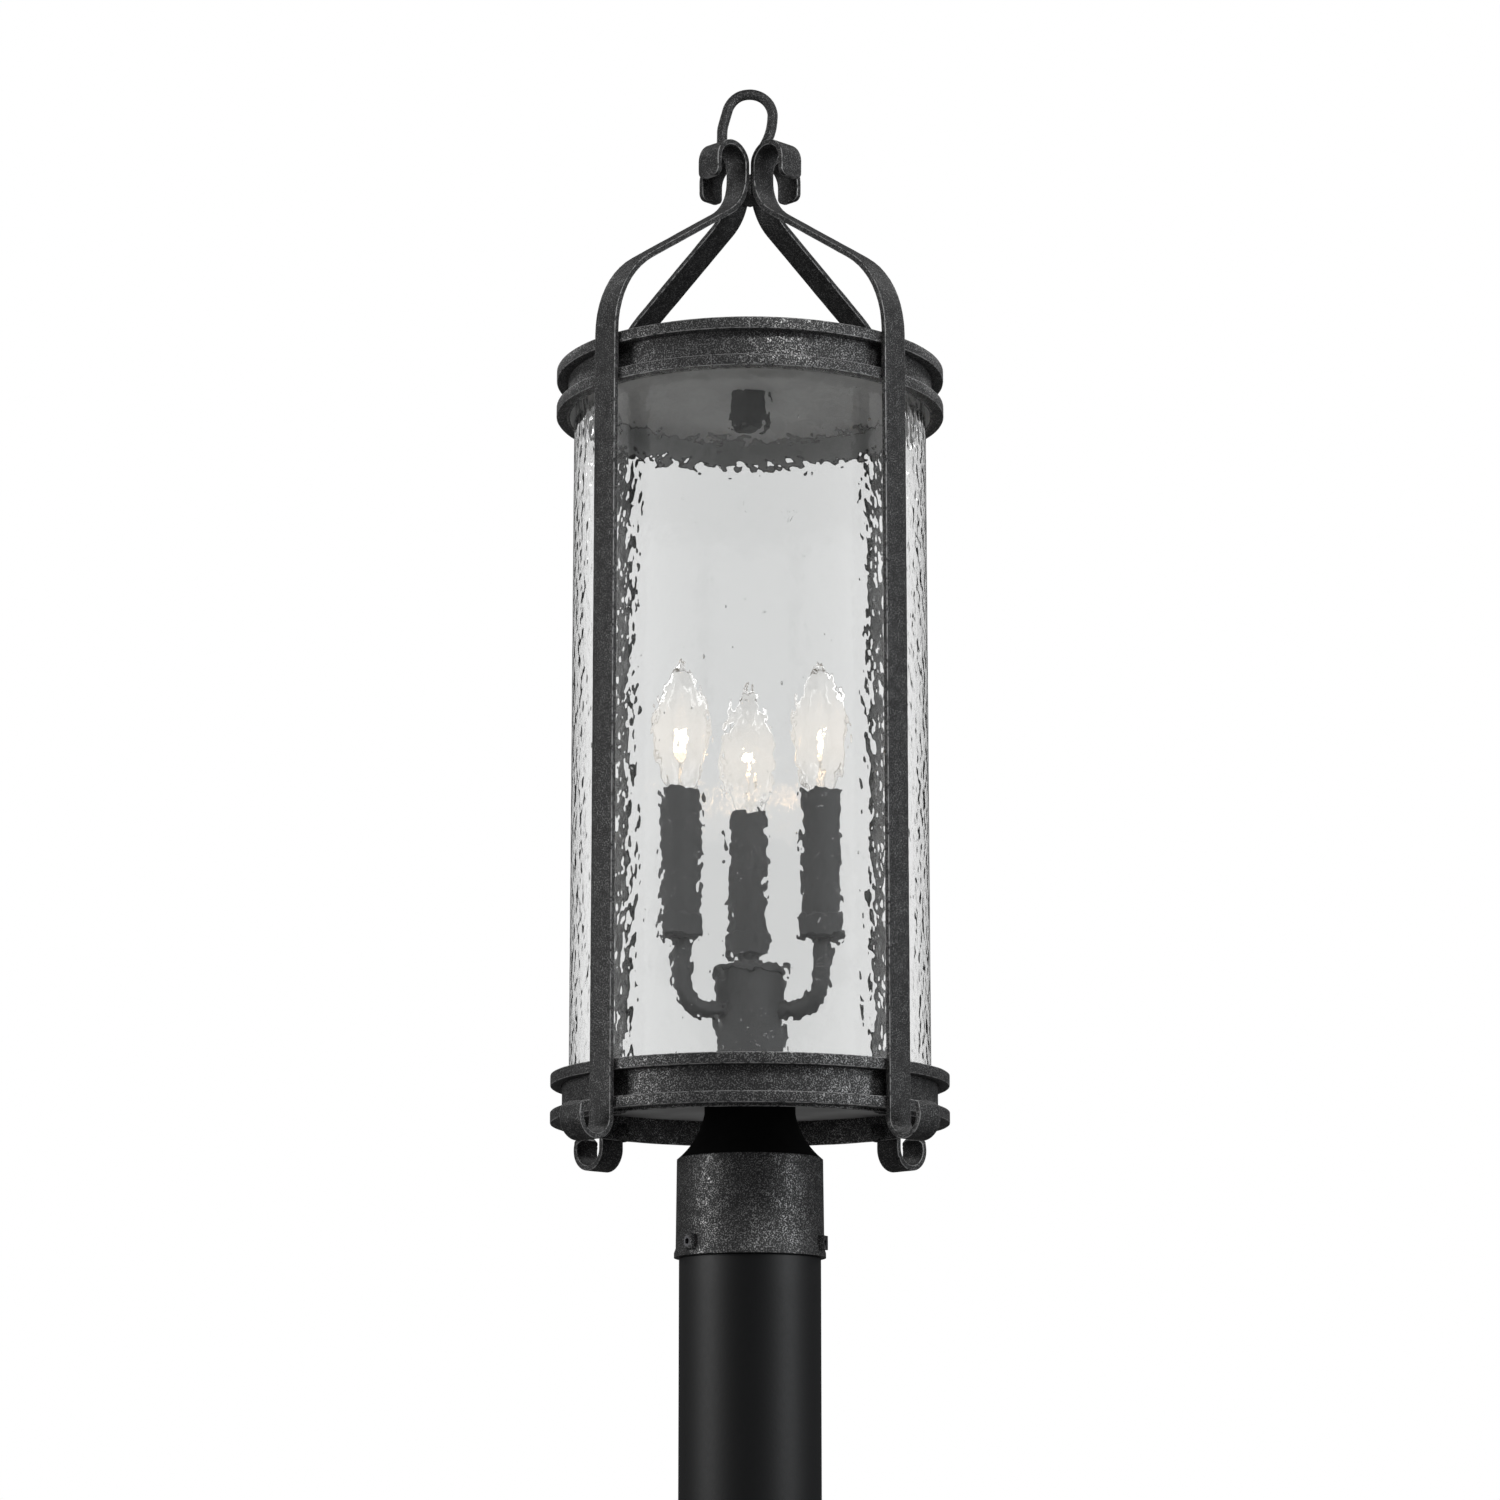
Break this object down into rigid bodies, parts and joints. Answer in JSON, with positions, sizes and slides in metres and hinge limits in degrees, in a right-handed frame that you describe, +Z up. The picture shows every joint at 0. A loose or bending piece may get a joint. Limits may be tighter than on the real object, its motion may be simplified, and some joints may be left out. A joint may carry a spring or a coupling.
{
  "type": "post lantern",
  "caption": "Outdoor post lantern: clear glass cylinder in a forged iron strap frame with scrolls and a top loop, candle lamps inside, on a round post end.",
  "frame": {"origin": "centre of the post's lower end, at the bottom of the part", "axes": "+Z up along the post and the lantern; the viewer stands on the -Y side, +X to the viewer's right; the straps stand at 45 degrees between the axes"},
  "size_m": [0.2159, 0.2158, 0.8503],
  "materials": {
    "post_paint": "smooth satin black",
    "forged_iron": "forged charcoal iron with a fine silvery speckle and lighter worn edges",
    "inner_paint": "plain matt dark grey",
    "cluster_paint": "matt charcoal",
    "seeded_glass": "clear hand-made glass with small seeds and ripples",
    "gasket_rubber": "black rubber",
    "lead_insulation": "off-white wire insulation",
    "brass": "plain brass",
    "socket_phenolic": "dark phenolic",
    "bulb_glass": "clear bulb glass",
    "bulb_base_metal": "threaded lamp base",
    "filament": "glowing warm filament on a glass stalk",
    "screw_steel": "black oxide steel"
  },
  "bodies": {
    "post": {"post_tube": "post_paint"},
    "head": {"collar_casting": "forged_iron", "bottom_plate": "inner_paint", "bottom_band": "forged_iron", "bottom_lower_hoop": "forged_iron", "bottom_flange_hoop": "forged_iron", "glass_cylinder": "seeded_glass", "glass_gaskets": "gasket_rubber", "top_band": "forged_iron", "top_lower_hoop": "forged_iron", "top_flange_hoop": "forged_iron", "ceiling_plate": "inner_paint", "roof_dome": "forged_iron", "ceiling_boss": "inner_paint", "roof_stud": "forged_iron", "roof_cap_nut": "forged_iron", "strap_front_left": "forged_iron", "strap_front_right": "forged_iron", "strap_back_left": "forged_iron", "strap_back_right": "forged_iron", "bottom_studs": "forged_iron", "bottom_nuts": "forged_iron", "top_studs": "forged_iron", "top_nuts": "forged_iron", "core_block": "forged_iron", "top_loop": "forged_iron", "hub_body": "cluster_paint", "hub_lid": "cluster_paint", "stem_nipple": "brass", "stem_nut": "brass", "arm_1": "cluster_paint", "arm_2": "cluster_paint", "arm_3": "cluster_paint", "arm_nuts": "brass", "arm_leads": "lead_insulation", "socket_contacts": "brass", "candle_cup_1": "cluster_paint", "candle_cup_2": "cluster_paint", "candle_cup_3": "cluster_paint", "candle_sleeve_1": "cluster_paint", "candle_sleeve_2": "cluster_paint", "candle_sleeve_3": "cluster_paint", "socket_body_1": "socket_phenolic", "socket_body_2": "socket_phenolic", "socket_body_3": "socket_phenolic", "socket_shell_1": "brass", "socket_shell_2": "brass", "socket_shell_3": "brass"},
    "bulb_1": {"bulb_glass_1": "bulb_glass", "bulb_base_1": "bulb_base_metal", "bulb_filament_1": "filament"},
    "bulb_2": {"bulb_glass_2": "bulb_glass", "bulb_base_2": "bulb_base_metal", "bulb_filament_2": "filament"},
    "bulb_3": {"bulb_glass_3": "bulb_glass", "bulb_base_3": "bulb_base_metal", "bulb_filament_3": "filament"},
    "set_screw_body_1": {"set_screw_1": "screw_steel"},
    "set_screw_body_2": {"set_screw_2": "screw_steel"},
    "set_screw_body_3": {"set_screw_3": "screw_steel"}
  },
  "joints": [
    {"name": "head_turn", "type": "hinge", "parent": "post", "child": "head", "pos_m": [0, 0, 0.215], "axis": [0, 0, 1], "range_deg": [-180, 180]},
    {"name": "bulb_1_lift", "type": "slide", "parent": "head", "child": "bulb_1", "axis": [0, 0, 1], "range_m": [0, 0.045]},
    {"name": "bulb_2_lift", "type": "slide", "parent": "head", "child": "bulb_2", "axis": [0, 0, 1], "range_m": [0, 0.045]},
    {"name": "bulb_3_lift", "type": "slide", "parent": "head", "child": "bulb_3", "axis": [0, 0, 1], "range_m": [0, 0.045]},
    {"name": "set_screw_1_back_out", "type": "slide", "parent": "head", "child": "set_screw_body_1", "axis": [-0.7771, -0.6293, 0], "range_m": [0, 0.004]},
    {"name": "set_screw_2_back_out", "type": "slide", "parent": "head", "child": "set_screw_body_2", "axis": [0.9336, -0.3584, 0], "range_m": [0, 0.004]},
    {"name": "set_screw_3_back_out", "type": "slide", "parent": "head", "child": "set_screw_body_3", "axis": [-0.1564, 0.9877, 0], "range_m": [0, 0.004]}
  ]
}
